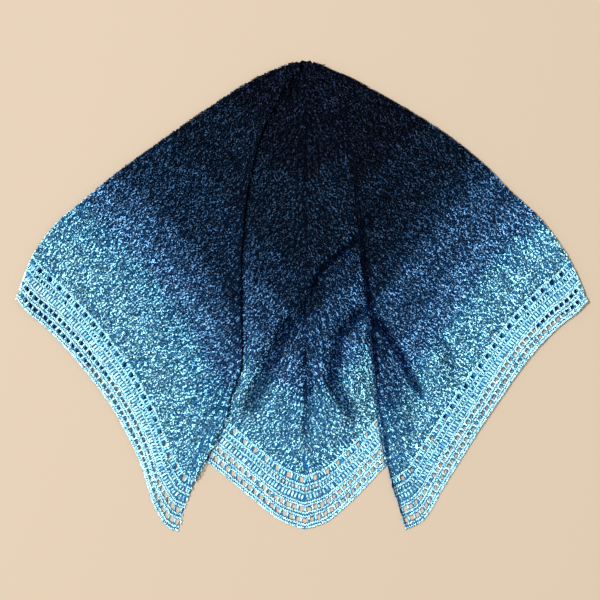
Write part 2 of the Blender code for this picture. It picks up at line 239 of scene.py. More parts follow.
# Shades of the gradient yarn in the order that they are worked, and the row where each starts.
# Each is spun from threads of one colour with one lighter thread, and its row gives its name, its
# starts on the three stretches and the two colours. A shade starts no earlier on the back than on
# the left wing, nor on the right wing than on the back, so at a row the left wing's yarn is never
# darker than the back's, nor the back's than the right wing's.
SHADES = [dict(zip(("name", "left", "back", "right", "threads", "light thread"), row)) for row in (
    ("midnight", 0.0, 0.0, 0.0, (0.001, 0.002, 0.007), (0.019, 0.031, 0.064)),
    ("ink", 0.2, 0.26, 0.34, (0.001, 0.005, 0.013), (0.028, 0.062, 0.12)),
    ("navy", 0.39, 0.45, 0.5, (0.001, 0.008, 0.025), (0.042, 0.108, 0.215)),
    ("dark denim", 0.545, 0.545, 0.56, (0.005, 0.028, 0.085), (0.12, 0.285, 0.52)),
    ("denim", 0.61, 0.64, 0.67, (0.01, 0.062, 0.2), (0.23, 0.52, 0.83)),
    ("mid blue", 0.68, 0.715, 0.745, (0.025, 0.195, 0.47), (0.34, 0.82, 1.0)),
    ("cornflower", 0.735, 0.745, 0.77, (0.06, 0.345, 0.69), (0.44, 0.91, 1.0)),
    ("sky", 0.79, 0.79, 0.82, (0.09, 0.425, 0.79), (0.5, 0.95, 1.0)),
    ("pale sky", 0.925, 0.93, 0.94, (0.15, 0.54, 0.87), (0.62, 0.99, 1.0)),
)]
SHADE_PASSAGE = 0.04  # rows over which one shade passes into the next
TWIST = 1.6  # length of yarn that shows one of its threads
CREST = (0.2, 0.65)  # heights in a stitch over which the painted shade of its lower parts gives way to its own colour
# Colour that painted shade is multiplied by, low in the stitches, in the gap blotches and on the ground
# under them; the strands' dark stretches take it too
SHADE_AND_DARK_TINT = (0.02, 0.09, 0.145)
SHADE_TINT = (0.01, 0.07, 0.17)
MORE_LIGHT = 0.36  # how much more of the palest yarn is its light thread than of the darkest
LESS_DARK = 0.2
GAP_SHADE_SCALE = 310.0  # blotches of painted shade that stand for the gaps between the stitches, a metre
GAP_SHADE_RIM = 0.025
LOOP_SCALE = 330.0
LOOP_RIM = 0.085
LOOP_LIGHT = 0.35
FLECK_TURNS = 17.0  # sets each stitch's twist and threads apart from its neighbours'
FLECK_THREADS = 931.0
THREAD_RIM = (-0.03, 0.05)
PLIES = 4
PLY_SHINE = (0.3, 0.85)  # painted light and shade along the plies: rise towards a ply's crest, and value in its groove
PLY_ROUGHNESS = (-0.12, 0.9)
INSIDE_ROUGHNESS = 0.95
YARN_SHINE = 0.02

# What the stretches were cut to, as flat cloth, in metres and square metres
CUT = {
    "wing": {"flat": (0.47, 0.62), "area": 0.160},
    "back": {"flat": (0.944, 0.78), "area": 0.424},
}

# Studio
PIXEL = 1.65  # millimetres of the floor in a pixel of the picture
PICTURE = 600
CAMERA_HEIGHT = 3.0
CAMERA_SHIFT = {"x": -2.0, "y": -3.5}  # in pixels
SENSOR = 36.0
KEY_LIGHT = {"place": (-10.0, 3.0, 15.0), "size": 4.0, "power": 8900}
SKY = 1.05
FLOOR_COLOUR = (0.225, 0.176, 0.1275, 1)
FLOOR_ROUGHNESS = 0.8
FLOOR_REACH = 8

draw = np.random.default_rng(11)


# The form of the cloth


def back_columns(coarse, fine):
    """Columns of a half of the back, coarse under the wing and fine where it shows."""
    hidden = np.linspace(0, BACK_FINE_FROM, coarse)[:-1]
    return np.concatenate([hidden, np.linspace(BACK_FINE_FROM, 1, fine)])


def smoothstep(x):
    """0 below 0, 1 above 1, and a smooth rise between."""
    x = np.clip(x, 0, 1)
    return x * x * (3 - 2 * x)


def unit(vectors):
    return vectors / np.linalg.norm(vectors, axis=-1, keepdims=True)


class Line:
    """A smooth curve through a few points, read by its share of length."""

    def __init__(self, table, axes=("x", "y")):
        knots = np.array([table[axis] for axis in axes], float).T
        steps = np.linalg.norm(np.diff(knots, axis=0), axis=1)
        slopes = np.gradient(knots, np.append(0, np.cumsum(steps)), axis=0)
        pieces = [knots[:1]]
        for i, step in enumerate(steps):
            u = np.linspace(0, 1, CURVE_STEPS + 1)[1:, None]
            start = (2 * u**3 - 3 * u**2 + 1) * knots[i] + (u**3 - 2 * u**2 + u) * step * slopes[i]
            end = (3 * u**2 - 2 * u**3) * knots[i + 1] + (u**3 - u**2) * step * slopes[i + 1]
            pieces.append(start + end)
        self.points = np.concatenate(pieces)
        run = np.linalg.norm(np.diff(self.points, axis=0), axis=1)
        self.length = run.sum()
        self.share = np.append(0, np.cumsum(run)) / self.length

    def at(self, share):
        return np.stack([np.interp(share, self.share, axis) for axis in self.points.T], axis=-1)

    def chord(self, share, reach):
        """From a little before each share to a little after it."""
        return self.at(np.minimum(share + reach, 1)) - self.at(np.maximum(share - reach, 0))

    def inward(self, share):
        """Unit normal, on the side of the middle of the shawl."""
        along = self.chord(share, NORMAL_REACH)
        normal = unit(np.stack([-along[..., 1], along[..., 0]], axis=-1))
        facing = np.sum(normal * -self.at(share), axis=-1, keepdims=True)
        return normal * np.sign(facing)

    def nearest(self, points):
        """Distance of each point from the curve, and the share where it is nearest."""
        gaps = np.linalg.norm(points[..., None, :] - self.points, axis=-1)
        closest = gaps.argmin(axis=-1)
        return gaps.min(axis=-1), self.share[closest]

    def rows(self, border):
        """The row at each point of the curve, from its distance to the border's chord."""
        start, end = border.points[0], border.points[-1]
        across = np.array([start[1] - end[1], end[0] - start[0]])
        gaps = np.abs((self.points - start) @ across)
        return 1 - gaps / gaps[0]


class Stretch:
    """Plan of one stretch between two side lines, whose rows end as the border's outline."""

    def __init__(self, start, end, border, start_rows, end_rows):
        self.start, self.end, self.border = start, end, border
        self.start_rows, self.end_rows = start_rows, end_rows

    def plan(self, row, across, inset):
        """Plan points, with the start line moved inwards by an inset."""
        start_row = row ** self.start_rows["crowding"]
        share = np.interp(start_row, self.start_rows["rows"], self.start.share)
        start = self.start.at(share) + self.start.inward(share) * np.expand_dims(inset, -1)
        end_row = row ** self.end_rows["crowding"]
        end = self.end.at(np.interp(end_row, self.end_rows["rows"], self.end.share))
        first, last = self.border.points[0], self.border.points[-1]
        along = np.expand_dims(across, -1)
        bow = self.border.at(across) - (1 - along) * first - along * last
        return (1 - along) * start + along * end + bow * np.expand_dims(row, -1) ** BOW


def make_wing(side):
    fold, edge, border = Line(FOLDS[side]), Line(LONG_EDGES[side]), Line(WING_BORDERS[side])
    fold_rows = {"rows": fold.rows(border), "crowding": CROWDING[side + " fold"]}
    edge_rows = {"rows": edge.rows(border), "crowding": CROWDING["long edge"]}
    return Stretch(fold, edge, border, fold_rows, edge_rows)


def make_back(side, spine):
    wing = WINGS[side]
    spine_rows = {"rows": spine.share, "crowding": 1.0}
    return Stretch(wing.start, spine, Line(BACK_BORDERS[side]), wing.start_rows, spine_rows)


WINGS = {side: make_wing(side) for side in SIDES}
BACKS = {side: make_back(side, Line(SPINE)) for side in SIDES}


def soft_fold(height, width, shade, x, y, on_border=False):
    """A soft ridge or trough with its line."""
    line = Line({"x": x, "y": y})
    return {"height": height, "width": width, "shade": shade, "line": line, "on border": on_border}


BACK_FOLDS = [soft_fold(*row) for row in BACK_CREASES]
WING_FOLDS = {side: [soft_fold(*row) for row in WING_CREASES[side]] for side in SIDES}


def clear_of_border(row):
    """0 at the border and 1 well inside it."""
    start, end = CALM_BORDER["start"], CALM_BORDER["end"]
    return smoothstep(((1 - row) * DEPTH - start) / (end - start))


def nearness(points, fold):
    """1 on the middle of a ridge or trough, falling to 0 beside it and towards its ends."""
    gap, share = fold["line"].nearest(points)
    from_end = np.minimum(share, 1 - share) / FOLD_FADE["reach"]
    return smoothstep(from_end + FOLD_FADE["left at the end"]) * np.exp(-((gap / fold["width"]) ** 2))


def soft_folds(points, folds):
    """Summed height of the soft ridges and troughs at plan points."""
    return sum(fold["height"] * nearness(points, fold) for fold in folds)


def shades(points, row, folds):
    """Share of the light that is lost in the troughs and under the wings' edges."""
    lost = np.zeros(points.shape[:-1])
    for fold in folds:
        if fold["shade"]:
            near = np.minimum(SHADE_BREADTH * nearness(points, fold), 1)
            if not fold["on border"]:
                near = near * clear_of_border(row)
            lost = np.maximum(lost, fold["shade"] * near)
    if folds is BACK_FOLDS:
        for reach in past_long_edges(points).values():
            near = 1 - smoothstep(reach / EDGE_SHADE["reach"])
            lost = np.maximum(lost, EDGE_SHADE["most"] * near)
    return lost


def past_long_edges(points):
    """How far inside the gap between the wings' long edges each plan point lies, by side."""
    reach = {}
    for side, sign in (("left", 1), ("right", -1)):
        edge = WINGS[side].end.points[::-1]
        reach[side] = sign * (points[..., 0] - np.interp(points[..., 1], edge[:, 1], edge[:, 0]))
    return reach


def back_height(row, points):
    """How far the back's cloth stands off the surface."""
    rise = smoothstep((BACK_PUFF["top"] - points[..., 1]) / BACK_PUFF["rise"])
    height = np.maximum(BACK_PUFF["height"] * rise + soft_folds(points, BACK_FOLDS), 0)
    for reach in past_long_edges(points).values():
        height = height * smoothstep(reach / EDGE_MARGIN)
    return height * clear_of_border(row)


def past_back(side, points):
    """How far a wing reaches past the back's outer edge."""
    border = BACKS[side].border
    gap, share = border.nearest(points)
    offset = points - border.at(share)
    outside = np.sum(offset * border.inward(share), axis=-1) < 0
    return np.where(outside, gap, 0)


def wing_height(side, row, points):
    """Height of the middle of a wing's cloth above the surface."""
    wing = WINGS[side]
    drop = smoothstep((past_back(side, points) - DROP_START) / (DROP_END - DROP_START))
    rest = CLOTH / 2 + (CLOTH + SEAM) * (1 - drop)
    nothing = np.zeros_like(row)
    inset = nothing + ROLL_INSET
    from_fold = np.linalg.norm(points - wing.plan(row, nothing, inset), axis=-1)
    loft = (FOLD_HEIGHT - CLOTH / 2 - rest) * (1 - smoothstep(from_fold / RELAX))
    to_edge = np.linalg.norm(points - wing.plan(row, nothing + 1, inset), axis=-1)
    fading = smoothstep((row - LIFT_FADE["start"]) / (LIFT_FADE["end"] - LIFT_FADE["start"]))
    lift = EDGE_LIFT * np.exp(-to_edge / LIFT_REACH) * (1 - fading)
    folds = soft_folds(points, WING_FOLDS[side]) * smoothstep(from_fold / (2 * RELAX))
    folds = folds * clear_of_border(row)
    return rest + np.maximum(loft + lift + folds, 0)


def wing_points(side, row, column):
    """Middle of a wing's cloth. Columns below 0 count back round the roll to the lip."""
    turns = np.radians(np.array(ROLL_TURNS + (90,)))
    round_roll = np.clip(column + len(ROLL_TURNS), 0, len(ROLL_TURNS))
    turn = np.interp(round_roll, np.arange(len(turns)), turns)
    lip = np.where(column < -len(ROLL_TURNS), LIP, 0)
    inset = ROLL_INSET - ROLL_RADIUS * np.cos(turn) + lip
    points = WINGS[side].plan(row, np.maximum(column, 0), inset)
    rolled = FOLD_HEIGHT / 2 + ROLL_RADIUS * np.sin(turn)
    height = np.where(column < 0, rolled, wing_height(side, row, points))
    return np.concatenate([points, height[..., None]], axis=-1)


def back_points(side, row, column):
    """Middle of the back's cloth, on the side of one fold."""
    inset = (ROLL_INSET + LIP + SEAM) * smoothstep(row * DEPTH / WING_NECK)
    points = BACKS[side].plan(row, column, inset)
    height = CLOTH / 2 + back_height(row, points)
    return np.concatenate([points, height[..., None]], axis=-1)


# Reading the cloth


def cell_of(values, knots):
    """The cell of each value between the knots, and how far into it the value lies."""
    cell = np.clip(np.searchsorted(knots, values) - 1, 0, len(knots) - 2)
    return cell, (values - knots[cell]) / (knots[cell + 1] - knots[cell])


def read_line(values, knots, results):
    """Straight-line reading that also goes on past both ends."""
    cell, share = cell_of(values, knots)
    return results[cell] + share * (results[cell + 1] - results[cell])


class Cloth:
    """One stretch of cloth, from a fold to a long edge or the spine, read from a fine grid."""

    PROBE = 2.0
    ROWS = 240

    def __init__(self, shape, name, columns, staggered_at):
        self.shape, self.name, self.columns = shape, name, columns
        self.rows = np.linspace(shape["first row"], 1, self.ROWS)
        row, column = np.meshgrid(self.rows, columns, indexing="ij")
        self.places = shape["points"](row, column)
        along, down = np.gradient(self.places, axis=1), np.gradient(self.places, axis=0)
        normals = unit(np.cross(along, down))
        self.seen_mirrored = normals[..., 2].sum() < 0
        self.normals = -normals if self.seen_mirrored else normals
        self.shades = shades(self.places[..., :2], row, shape["folds"])
        # Rows are counted from starts that keep neighbours staggered round one column
        reference = np.searchsorted(columns, staggered_at)
        fold = np.searchsorted(columns, 0)
        steps = np.linalg.norm(np.diff(self.places[:, fold:reference + 1], axis=1), axis=-1)
        run = unit(along[:, reference])
        slip = np.cumsum(np.sum(down[:, reference] * run, axis=-1))
        self.row_starts = slip - steps.sum(axis=1)

    def blend(self, grid, row, column):
        """Values of a grid between its points, at rows and columns."""
        i, down = cell_of(row, self.rows)
        j, across = cell_of(column, self.columns)
        if grid.ndim == 3:
            down, across = down[..., None], across[..., None]
        upper = grid[i, j] * (1 - across) + grid[i, j + 1] * across
        lower = grid[i + 1, j] * (1 - across) + grid[i + 1, j + 1] * across
        return upper * (1 - down) + lower * down

    def read(self, row, column, height=0.0):
        """Places at rows and columns, raised along the cloth's normal."""
        raised = self.blend(self.normals, row, column) * np.expand_dims(height, -1)
        return self.blend(self.places, row, column) + raised

    def lengths(self, row):
        """Length along a row at each column of the grid, measured from the fold."""
        line = self.read(np.full(len(self.columns), row), self.columns)
        length = np.append(0, np.cumsum(np.linalg.norm(np.diff(line, axis=0), axis=1)))
        return length - np.interp(0, self.columns, length)

    def lay(self, row, places, shape):
        """Vertices of stitches at lengths along a row, with each one's row and shade."""
        length = self.lengths(row)
        column = read_line(places, length, self.columns)
        rows = np.full(len(places), row)
        step = self.PROBE / DEPTH
        ahead = self.read(rows, read_line(places + self.PROBE, length, self.columns))
        behind = self.read(rows, read_line(places - self.PROBE, length, self.columns))
        across = unit(ahead - behind)
        down = (self.read(rows + step, column) - self.read(rows - step, column)) / (2 * self.PROBE)
        slip = np.sum(down * across, axis=-1, keepdims=True)
        pace = np.linalg.norm(down - slip * across, axis=-1, keepdims=True)
        on_row = shape[..., 1] / pace
        along = places[:, None] + shape[..., 0] - slip * on_row
        at_rows = np.maximum(row + on_row / DEPTH, self.rows[0])
        at_columns = read_line(along, length, self.columns)
        verts = self.read(at_rows, at_columns, shape[..., 2])
        verts[..., 2] = np.maximum(verts[..., 2], LOWEST)
        return verts, at_rows, np.clip(self.blend(self.shades, at_rows, at_columns), 0, 1)

    def in_sight(self, row, places, length):
        """Whether a stitch shows, for each of some lengths along a row."""
        seen = (places > max(length[0], -ROLL_REACH)) & (places < length[-1] + self.shape["overhang"])
        if self.name == "back":
            at = self.read(np.full(len(places), row), read_line(places, length, self.columns))
            reach = past_long_edges(at[..., :2])
            between = (reach["left"] > -HIDDEN_MARGIN) & (reach["right"] > -HIDDEN_MARGIN)
            seen = seen & (between | (at[..., 1] > NECK_SHOWN))
        return seen


# Stitches


def make_strand(strand, strip, strips):
    """A closed strand of yarn along a smooth path, as arrays, with its strip of the bake's map."""
    *path, thick, rings = strand
    bm = bmesh.new()
    bmesh.ops.create_cone(
        bm, cap_ends=True, segments=STRAND_SIDES, radius1=1, radius2=1, depth=rings
    )
    for ring in range(1, rings):
        everything = bm.verts[:] + bm.edges[:] + bm.faces[:]
        middle = (0, 0, ring - rings / 2)
        bmesh.ops.bisect_plane(bm, geom=everything, plane_co=middle, plane_no=(0, 0, 1))
    bmesh.ops.triangulate(bm, faces=bm.faces)
    bm.verts.index_update()
    local = np.array([vert.co for vert in bm.verts])
    faces = np.array([[vert.index for vert in face.verts] for face in bm.faces])
    bm.free()
    share = local[:, 2] / rings + 0.5
    line = Line(dict(zip("xyz", path)), "xyz")
    run = unit(line.chord(share, STRAND_REACH))
    side = unit(np.cross(run, [0, 0, 1.0]))
    up = np.cross(side, run)
    round_share = np.sqrt(np.sin(np.pi * np.clip(share, 0, 1)))
    taper = STRAND_ENDS + (1 - STRAND_ENDS) * round_share
    radius = (thick / 2 * taper)[:, None]
    verts = line.at(share) + radius * (local[:, :1] * side + local[:, 1:2] * up)
    turn = ((np.arctan2(local[:, 1], local[:, 0]) / (2 * np.pi)) % 1)[faces]
    turn = turn + (turn.max(axis=1, keepdims=True) - turn > 0.5)
    yarn = np.stack([share[faces] * line.length, turn], axis=-1)
    along = MAP_ALONG[0] + MAP_ALONG[1] * share[faces]
    cell = np.stack([along, MAP_ROUND[0] + MAP_ROUND[1] * turn], axis=-1)
    end = np.ptp(share[faces], axis=1) < 1e-4
    cell[end] = MAP_END["middle"] + MAP_END["size"] * local[faces[end]][..., :2]
    cell[end, :, 0] += MAP_END["apart"] * (share[faces[end]] > 0.5)
    cell[..., 1] = (cell[..., 1] + strip) / strips
    return {"verts": verts, "faces": faces, "yarn": yarn, "cell": cell}


class Stitch:
    """One stitch as arrays: vertices, faces, how high each vertex is in it, and its maps."""

    def __init__(self, strands, mirrored=False):
        parts = [make_strand(strand, i, len(strands)) for i, strand in enumerate(strands)]
        before = np.cumsum([0] + [len(part["verts"]) for part in parts[:-1]])
        self.verts = np.concatenate([part["verts"] for part in parts])
        self.faces = np.concatenate([part["faces"] + n for part, n in zip(parts, before)])
        self.yarn = np.concatenate([part["yarn"] for part in parts])
        self.cell = np.concatenate([part["cell"] for part in parts])
        low, high = self.verts[:, 2].min(), self.verts[:, 2].max()
        self.deep = (self.verts[:, 2] - low) / (high - low)
        if mirrored:
            self.verts = self.verts * [-1, 1, 1]
            self.faces, self.yarn, self.cell = self.turned()

    def turned(self):
        """Its faces turned over, with their corners of both maps."""
        return self.faces[:, ::-1], self.yarn[:, ::-1], self.cell[:, ::-1]


# Strands by their paths, x along the row, y up the stitch and z out of the cloth, with their
# thickness and number of rings
TALL_STRANDS = [
    [
        ([-0.3, -1.3, 0.3, 1.0, -0.5, 0.6, 2.6], [-1.2, 0.8, 3.0, 5.0, 7.2, 9.0, 9.9],
         [0.1, 1.3, 0.5, 1.4, 0.5, 1.5, 0.4], 1.6, 6),
        ([2.0, 0.7, -0.9, -2.2], [2.0, 3.7, 4.6, 6.4], [0.2, 1.3, 1.9, 0.4], 1.4, 3),
    ],
    [
        ([0.6, -0.8, -0.9, 0.9, 1.2, -0.3, -2.0], [-0.8, 0.9, 2.9, 4.4, 6.6, 8.6, 9.4],
         [0.1, 1.5, 0.8, 0.6, 1.5, 1.2, 0.2], 1.6, 6),
        ([-1.8, 0.2, 1.6, 2.6], [6.0, 5.2, 6.4, 8.2], [0.3, 1.7, 1.0, 0.2], 1.4, 3),
    ],
    [
        ([-1.2, 0.4, 1.2, 0.2, -1.0, 0.5, 2.2], [-1.0, 0.6, 2.6, 4.6, 6.2, 8.0, 9.2],
         [0.2, 1.0, 1.6, 0.4, 1.3, 1.5, 0.3], 1.6, 6),
        ([-2.4, -0.8, 0.6, 2.2], [1.4, 2.9, 3.1, 1.7], [0.2, 1.2, 1.4, 0.3], 1.4, 3),
    ],
]
TALL_STITCHES = [Stitch(strands, mirrored) for strands in TALL_STRANDS for mirrored in (False, True)]
SHORT_STITCH = Stitch([
    ([-1.7, -1.1, 0.0, 1.1, 1.7], [4.6, 3.0, 0.1, 3.0, 4.6], [0.1, 1.2, 0.5, 1.4, 0.2], 1.6, 6),
])
POST_STITCHES = [Stitch([
    ([-1.6, -0.6, 0.9, 1.0], [-0.6, 1.8, 4.6, 7.0], [0.2, 1.2, 1.4, 0.3], 1.7, 4),
    ([1.5, 0.8, -0.7, -1.3], [-0.6, 2.0, 4.8, 7.0], [0.2, 0.9, 0.6, 0.2], 1.7, 4),
])]
BAR = Stitch([
    ([-0.5, -0.8, -0.6], [-0.4, 3.6, 7.6], [0.6, 1.6, 0.6], 1.5, 3),
    ([0.6, 0.7, 0.7], [-0.4, 3.8, 7.6], [0.7, 1.4, 0.7], 1.5, 3),
])
# Each stitch of the border with its usual height
BORDER_STITCHES = {"short": ([SHORT_STITCH], 4.6), "bars": ([BAR], 7.6), "posts": (POST_STITCHES, 6.6)}


def dye_at(rows, stretch):
    """Shade of the yarn at rows, counted in shades, with a short passage from each to the next."""
    total = np.zeros_like(rows)
    for shade in SHADES[1:]:
        total += smoothstep((rows - shade[stretch]) / SHADE_PASSAGE + 0.5)
    return total


class Piece:
    """Stitches gathered for one piece of the shawl."""

    def __init__(self, name, stretch):
        self.name, self.stretch, self.batches = name, stretch, []

    def add(self, cloth, stitches, row, places, lean=0.0, foot=0.0, size=(1.0, 1.0), wild=1.0):
        """Adds stitches along a row. Their heads are moved by lean and their feet by foot."""
        lean, foot = np.broadcast_to(lean, len(places)), np.broadcast_to(foot, len(places))
        pick = draw.integers(0, len(stitches), len(places))
        for number, stitch in enumerate(stitches):
            chosen = pick == number
            if chosen.any():
                feet, heads = foot[chosen, None], lean[chosen, None]
                self.lay(cloth, stitch, row, places[chosen], heads, feet, size, wild)

    def lay(self, cloth, stitch, row, places, heads, feet, size, wild):
        count = len(places)
        turn = draw.normal(0, SPREAD["turn"], count)[:, None] * wild
        wide = size[0] * (1 + draw.normal(0, SPREAD["width"], count)[:, None] * wild)
        tall = size[1] * (1 + draw.normal(0, SPREAD["height"], count)[:, None] * wild)
        shift = draw.normal(0, SPREAD["place"], (2, count))[..., None] * wild
        lift = draw.uniform(*LIFT, count)[:, None] * wild
        bend = draw.normal(0, SPREAD["bend"], count)[:, None] * wild
        fleck = draw.uniform(0, 1, count)[:, None]
        x, y, z = stitch.verts.T
        climb = np.clip(y / BODY_ROW, 0, 1)
        x_laid = x * wide - y * turn + feet + (heads - feet) * climb + bend * np.sin(np.pi * climb)
        y_laid = y * tall + x * turn
        shape = np.stack([x_laid + shift[0], y_laid + shift[1], z + lift], axis=-1)
        verts, rows, shade = cloth.lay(row, places, shape)
        self.batches.append({
            "corners": stitch.turned() if cloth.seen_mirrored else (stitch.faces, stitch.yarn, stitch.cell),
            "verts": verts,
            "dye": dye_at(rows, self.stretch),
            "fleck": np.broadcast_to(fleck, rows.shape),
            "deep": np.broadcast_to(stitch.deep, rows.shape),
            "shade": shade,
        })

    def build(self, material, slot, *nodes):
        """Joins the stitches into one mesh. Each has its own cell of the map for baking."""
        copies = [len(batch["verts"]) for batch in self.batches]
        cells = int(np.ceil(np.sqrt(sum(copies))))
        faces, yarn, cell = [], [], []
        verts_before = copies_before = 0
        for batch, count in zip(self.batches, copies):
            each, yarn_map, cell_map = batch["corners"]
            in_each = batch["verts"].shape[1]
            starts = verts_before + np.arange(count) * in_each
            faces.append((each + starts[:, None, None]).reshape(-1, 3))
            number = copies_before + np.arange(count)
            corner = np.stack([number % cells, number // cells], axis=-1)[:, None, None]
            cell.append(((cell_map + corner) / cells).reshape(-1, 2))
            yarn.append(np.tile(yarn_map.reshape(-1, 2), (count, 1)))
            verts_before += count * in_each
            copies_before += count
        faces = np.concatenate(faces)
        verts = np.concatenate([batch["verts"].reshape(-1, 3) for batch in self.batches]) * MM
        mesh = bpy.data.meshes.new(self.name)
        mesh.vertices.add(len(verts))
        mesh.vertices.foreach_set("co", verts.ravel().astype(np.float32))
        mesh.loops.add(faces.size)
        mesh.loops.foreach_set("vertex_index", faces.ravel().astype(np.int32))
        mesh.polygons.add(len(faces))
        mesh.polygons.foreach_set("loop_start", np.arange(0, faces.size, 3, dtype=np.int32))
        mesh.update(calc_edges=True)
        for name in ("dye", "fleck", "deep", "shade"):
            values = np.concatenate([batch[name].ravel() for batch in self.batches])
            layer = mesh.attributes.new(name, "FLOAT", "POINT")
            layer.data.foreach_set("value", values.astype(np.float32))
        for name, corners in (("yarn", yarn), ("OFBake", cell)):
            layer = mesh.uv_layers.new(name=name)
            layer.uv.foreach_set("vector", np.concatenate(corners).ravel().astype(np.float32))
        return finish_piece(self.name, mesh, [material], nodes)


def finish_piece(name, mesh, materials, nodes):
    """Every piece rides on the shawl's one body, takes its materials and stands for its nodes."""
    mesh.shade_smooth()
    for material in materials:
        mesh.materials.append(material)
    piece = bpy.data.objects.new(name, mesh)
    bpy.context.scene.collection.objects.link(piece)
    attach(piece, "root")
    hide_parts(*nodes)
    return piece


# Ground cloth


def make_ground(name, rows, columns, shape, stretch, materials, nodes, holes=(), waver=0):
    """A thin shell of cloth under the stitches. Holes are its open cells, as (row, column)."""
    bm = bmesh.new()
    across, down = len(columns) - 1, len(rows) - 1
    bmesh.ops.create_grid(bm, x_segments=across, y_segments=down, size=0.5)
    corners = (np.array([vert.co[:2] for vert in bm.verts]) + 0.5) * [across, down]
    at_column, at_row = np.rint(corners).astype(int).T
    middles = np.array([face.calc_center_median()[:2] for face in bm.faces]) + 0.5
    cells = np.floor(middles * [across, down]).astype(int)
    gaps = [face for face, cell in zip(bm.faces, cells) if (cell[1], cell[0]) in holes]
    row, column = np.array(rows, float)[at_row], np.array(columns, float)[at_column]
    places = shape["points"](row, column) + [0, 0, GROUND_TOP]
    dark = shades(places[:, :2], row, shape["folds"])
    places[:, :2] += draw.normal(0, 1, (len(places), 2)) * waver
    layers = [bm.verts.layers.float.new(name) for name in ("dye", "shade")]
    for vert, place, *values in zip(bm.verts, places, dye_at(row, stretch), dark):
        vert.co = place * MM
        for layer, value in zip(layers, values):
            vert[layer] = value
    bmesh.ops.delete(bm, geom=gaps, context="FACES")
    bm.normal_update()
    if sum(face.normal.z * face.calc_area() for face in bm.faces) < 0:
        bmesh.ops.reverse_faces(bm, faces=bm.faces)
    mesh = bpy.data.meshes.new(name)
    bm.to_mesh(mesh)
    bm.free()
    piece = finish_piece(name, mesh, materials, nodes)
    shell = piece.modifiers.new("thickness", "SOLIDIFY")
    shell.thickness = GROUND_THICK * MM
    shell.offset = -1.0
    shell.material_offset = 1
    shell.material_offset_rim = 1
    return piece


def border_grid(shape, roll):
    """Columns of a border's ground from the fold onwards, and the holes that take in each cell."""
    start, meshes = shape["start"], shape["meshes"]
    places = [start if start else EDGE_INSET / MESH]
    kinds = [MESH_CELLS[2][1] if start else set()]
    for mesh in range(int(meshes + start) + 1):
        for begins, holes, wide_of in MESH_CELLS:
            place = mesh + begins
            if places[0] + NARROWEST_CELL < place < start + meshes - CLOSED_AT_FOLD:
                wide = wide_of is not None and (mesh + wide_of) % 2 == shape["wide at"]
                places.append(place)
                kinds.append(holes | {"wide"} if wide else holes)
    shares = 1 - (np.array(places) - start) / meshes
    return roll + [0.0] + list(shares[::-1]), [set()] * (len(roll) + 1) + kinds[-2::-1]


def open_cells(columns, kinds, holes_from):
    """Cells of a border's ground that are open, as (row, column), with rows from the inner edge."""
    cells = set()
    for down, (_, holes) in enumerate(STRIPS[::-1]):
        for across, kind in enumerate(kinds):
            if holes in kind and columns[across] >= holes_from:
                cells.add((down, across))
    return cells


def ground_rows(first_row):
    """Rows of the body's ground, and of the border's, both from the neck outwards."""
    last = 1 - BORDER_START / DEPTH
    body = list(np.linspace(first_row, last, int((last - first_row) * DEPTH / GROUND_CELL)))
    border = [last] + [1 - outer / DEPTH for outer, _ in STRIPS[::-1]]
    return body, border


# Materials


def new_group(name, inputs, outputs):
    """A node group with numbers to give, by their usual values, and outputs by their kinds."""
    group = bpy.data.node_groups.new(name, "ShaderNodeTree")
    for socket, value in inputs.items():
        made = group.interface.new_socket(name=socket, in_out="INPUT", socket_type="NodeSocketFloat")
        made.default_value = value
    for socket, kind in outputs.items():
        group.interface.new_socket(name=socket, in_out="OUTPUT", socket_type="NodeSocket" + kind)
    given = group.nodes.new("NodeGroupInput").outputs
    return group, given, group.nodes.new("NodeGroupOutput").inputs


def add_node(tree, kind, inputs=None, **settings):
    """A node with its settings, and its inputs joined to sockets or given values."""
    made = tree.nodes.new("ShaderNode" + kind)
    for key, value in settings.items():
        setattr(made, key, value)
    for to, source in (inputs or {}).items():
        if isinstance(source, bpy.types.NodeSocket):
            tree.links.new(source, made.inputs[to])
        else:
            made.inputs[to].default_value = source
    return made


def maths(tree, operation, *values):
    inputs = dict(enumerate(values))
    return add_node(tree, "Math", inputs, operation=operation).outputs[0]


def mixed(tree, factor, a, b):
    mix = add_node(tree, "Mix", {0: factor, 6: a, 7: b}, data_type="RGBA")
    return mix.outputs[2]


def scaled(tree, colour, factor):
    return add_node(tree, "VectorMath", {0: colour, "Scale": factor}, operation="SCALE").outputs[0]


def times(tree, colour, tint):
    return add_node(tree, "VectorMath", {0: colour, 1: tint}, operation="MULTIPLY").outputs[0]


def smooth_range(tree, value, low, high):
    inputs = {"Value": value, "From Min": low, "From Max": high}
    ranged = add_node(tree, "MapRange", inputs, interpolation_type="SMOOTHSTEP")
    return ranged.outputs["Result"]


def read_attribute(tree, name):
    return add_node(tree, "Attribute", attribute_name=name).outputs["Fac"]


def paleness(tree):
    """0 for the darkest shade of the yarn and 1 for the palest."""
    return maths(tree, "DIVIDE", read_attribute(tree, "dye"), len(SHADES) - 1)


def shaded(tree, colour, strength=1.0):
    """A colour darkened in the troughs of the soft folds and under the wings' edges."""
    shade = maths(tree, "MULTIPLY", read_attribute(tree, "shade"), strength)
    return mixed(tree, shade, colour, times(tree, colour, SHADE_TINT))


def gradient_group():
    """Colours of the threads of the gradient yarn at a vertex's dye."""
    group, _, out = new_group("gradient yarn", {}, {"Threads": "Color", "Light Thread": "Color"})
    for name in ("Threads", "Light Thread"):
        ramp = add_node(group, "ValToRGB", {"Fac": paleness(group)})
        stops = ramp.color_ramp.elements
        stops[0].color, stops[1].color = ((*SHADES[i][name.lower()], 1) for i in (0, -1))
        for number, shade in enumerate(SHADES[1:-1], 1):
            stops.new(number / (len(SHADES) - 1)).color = (*shade[name.lower()], 1)
        group.links.new(ramp.outputs["Color"], out[name])
    return group


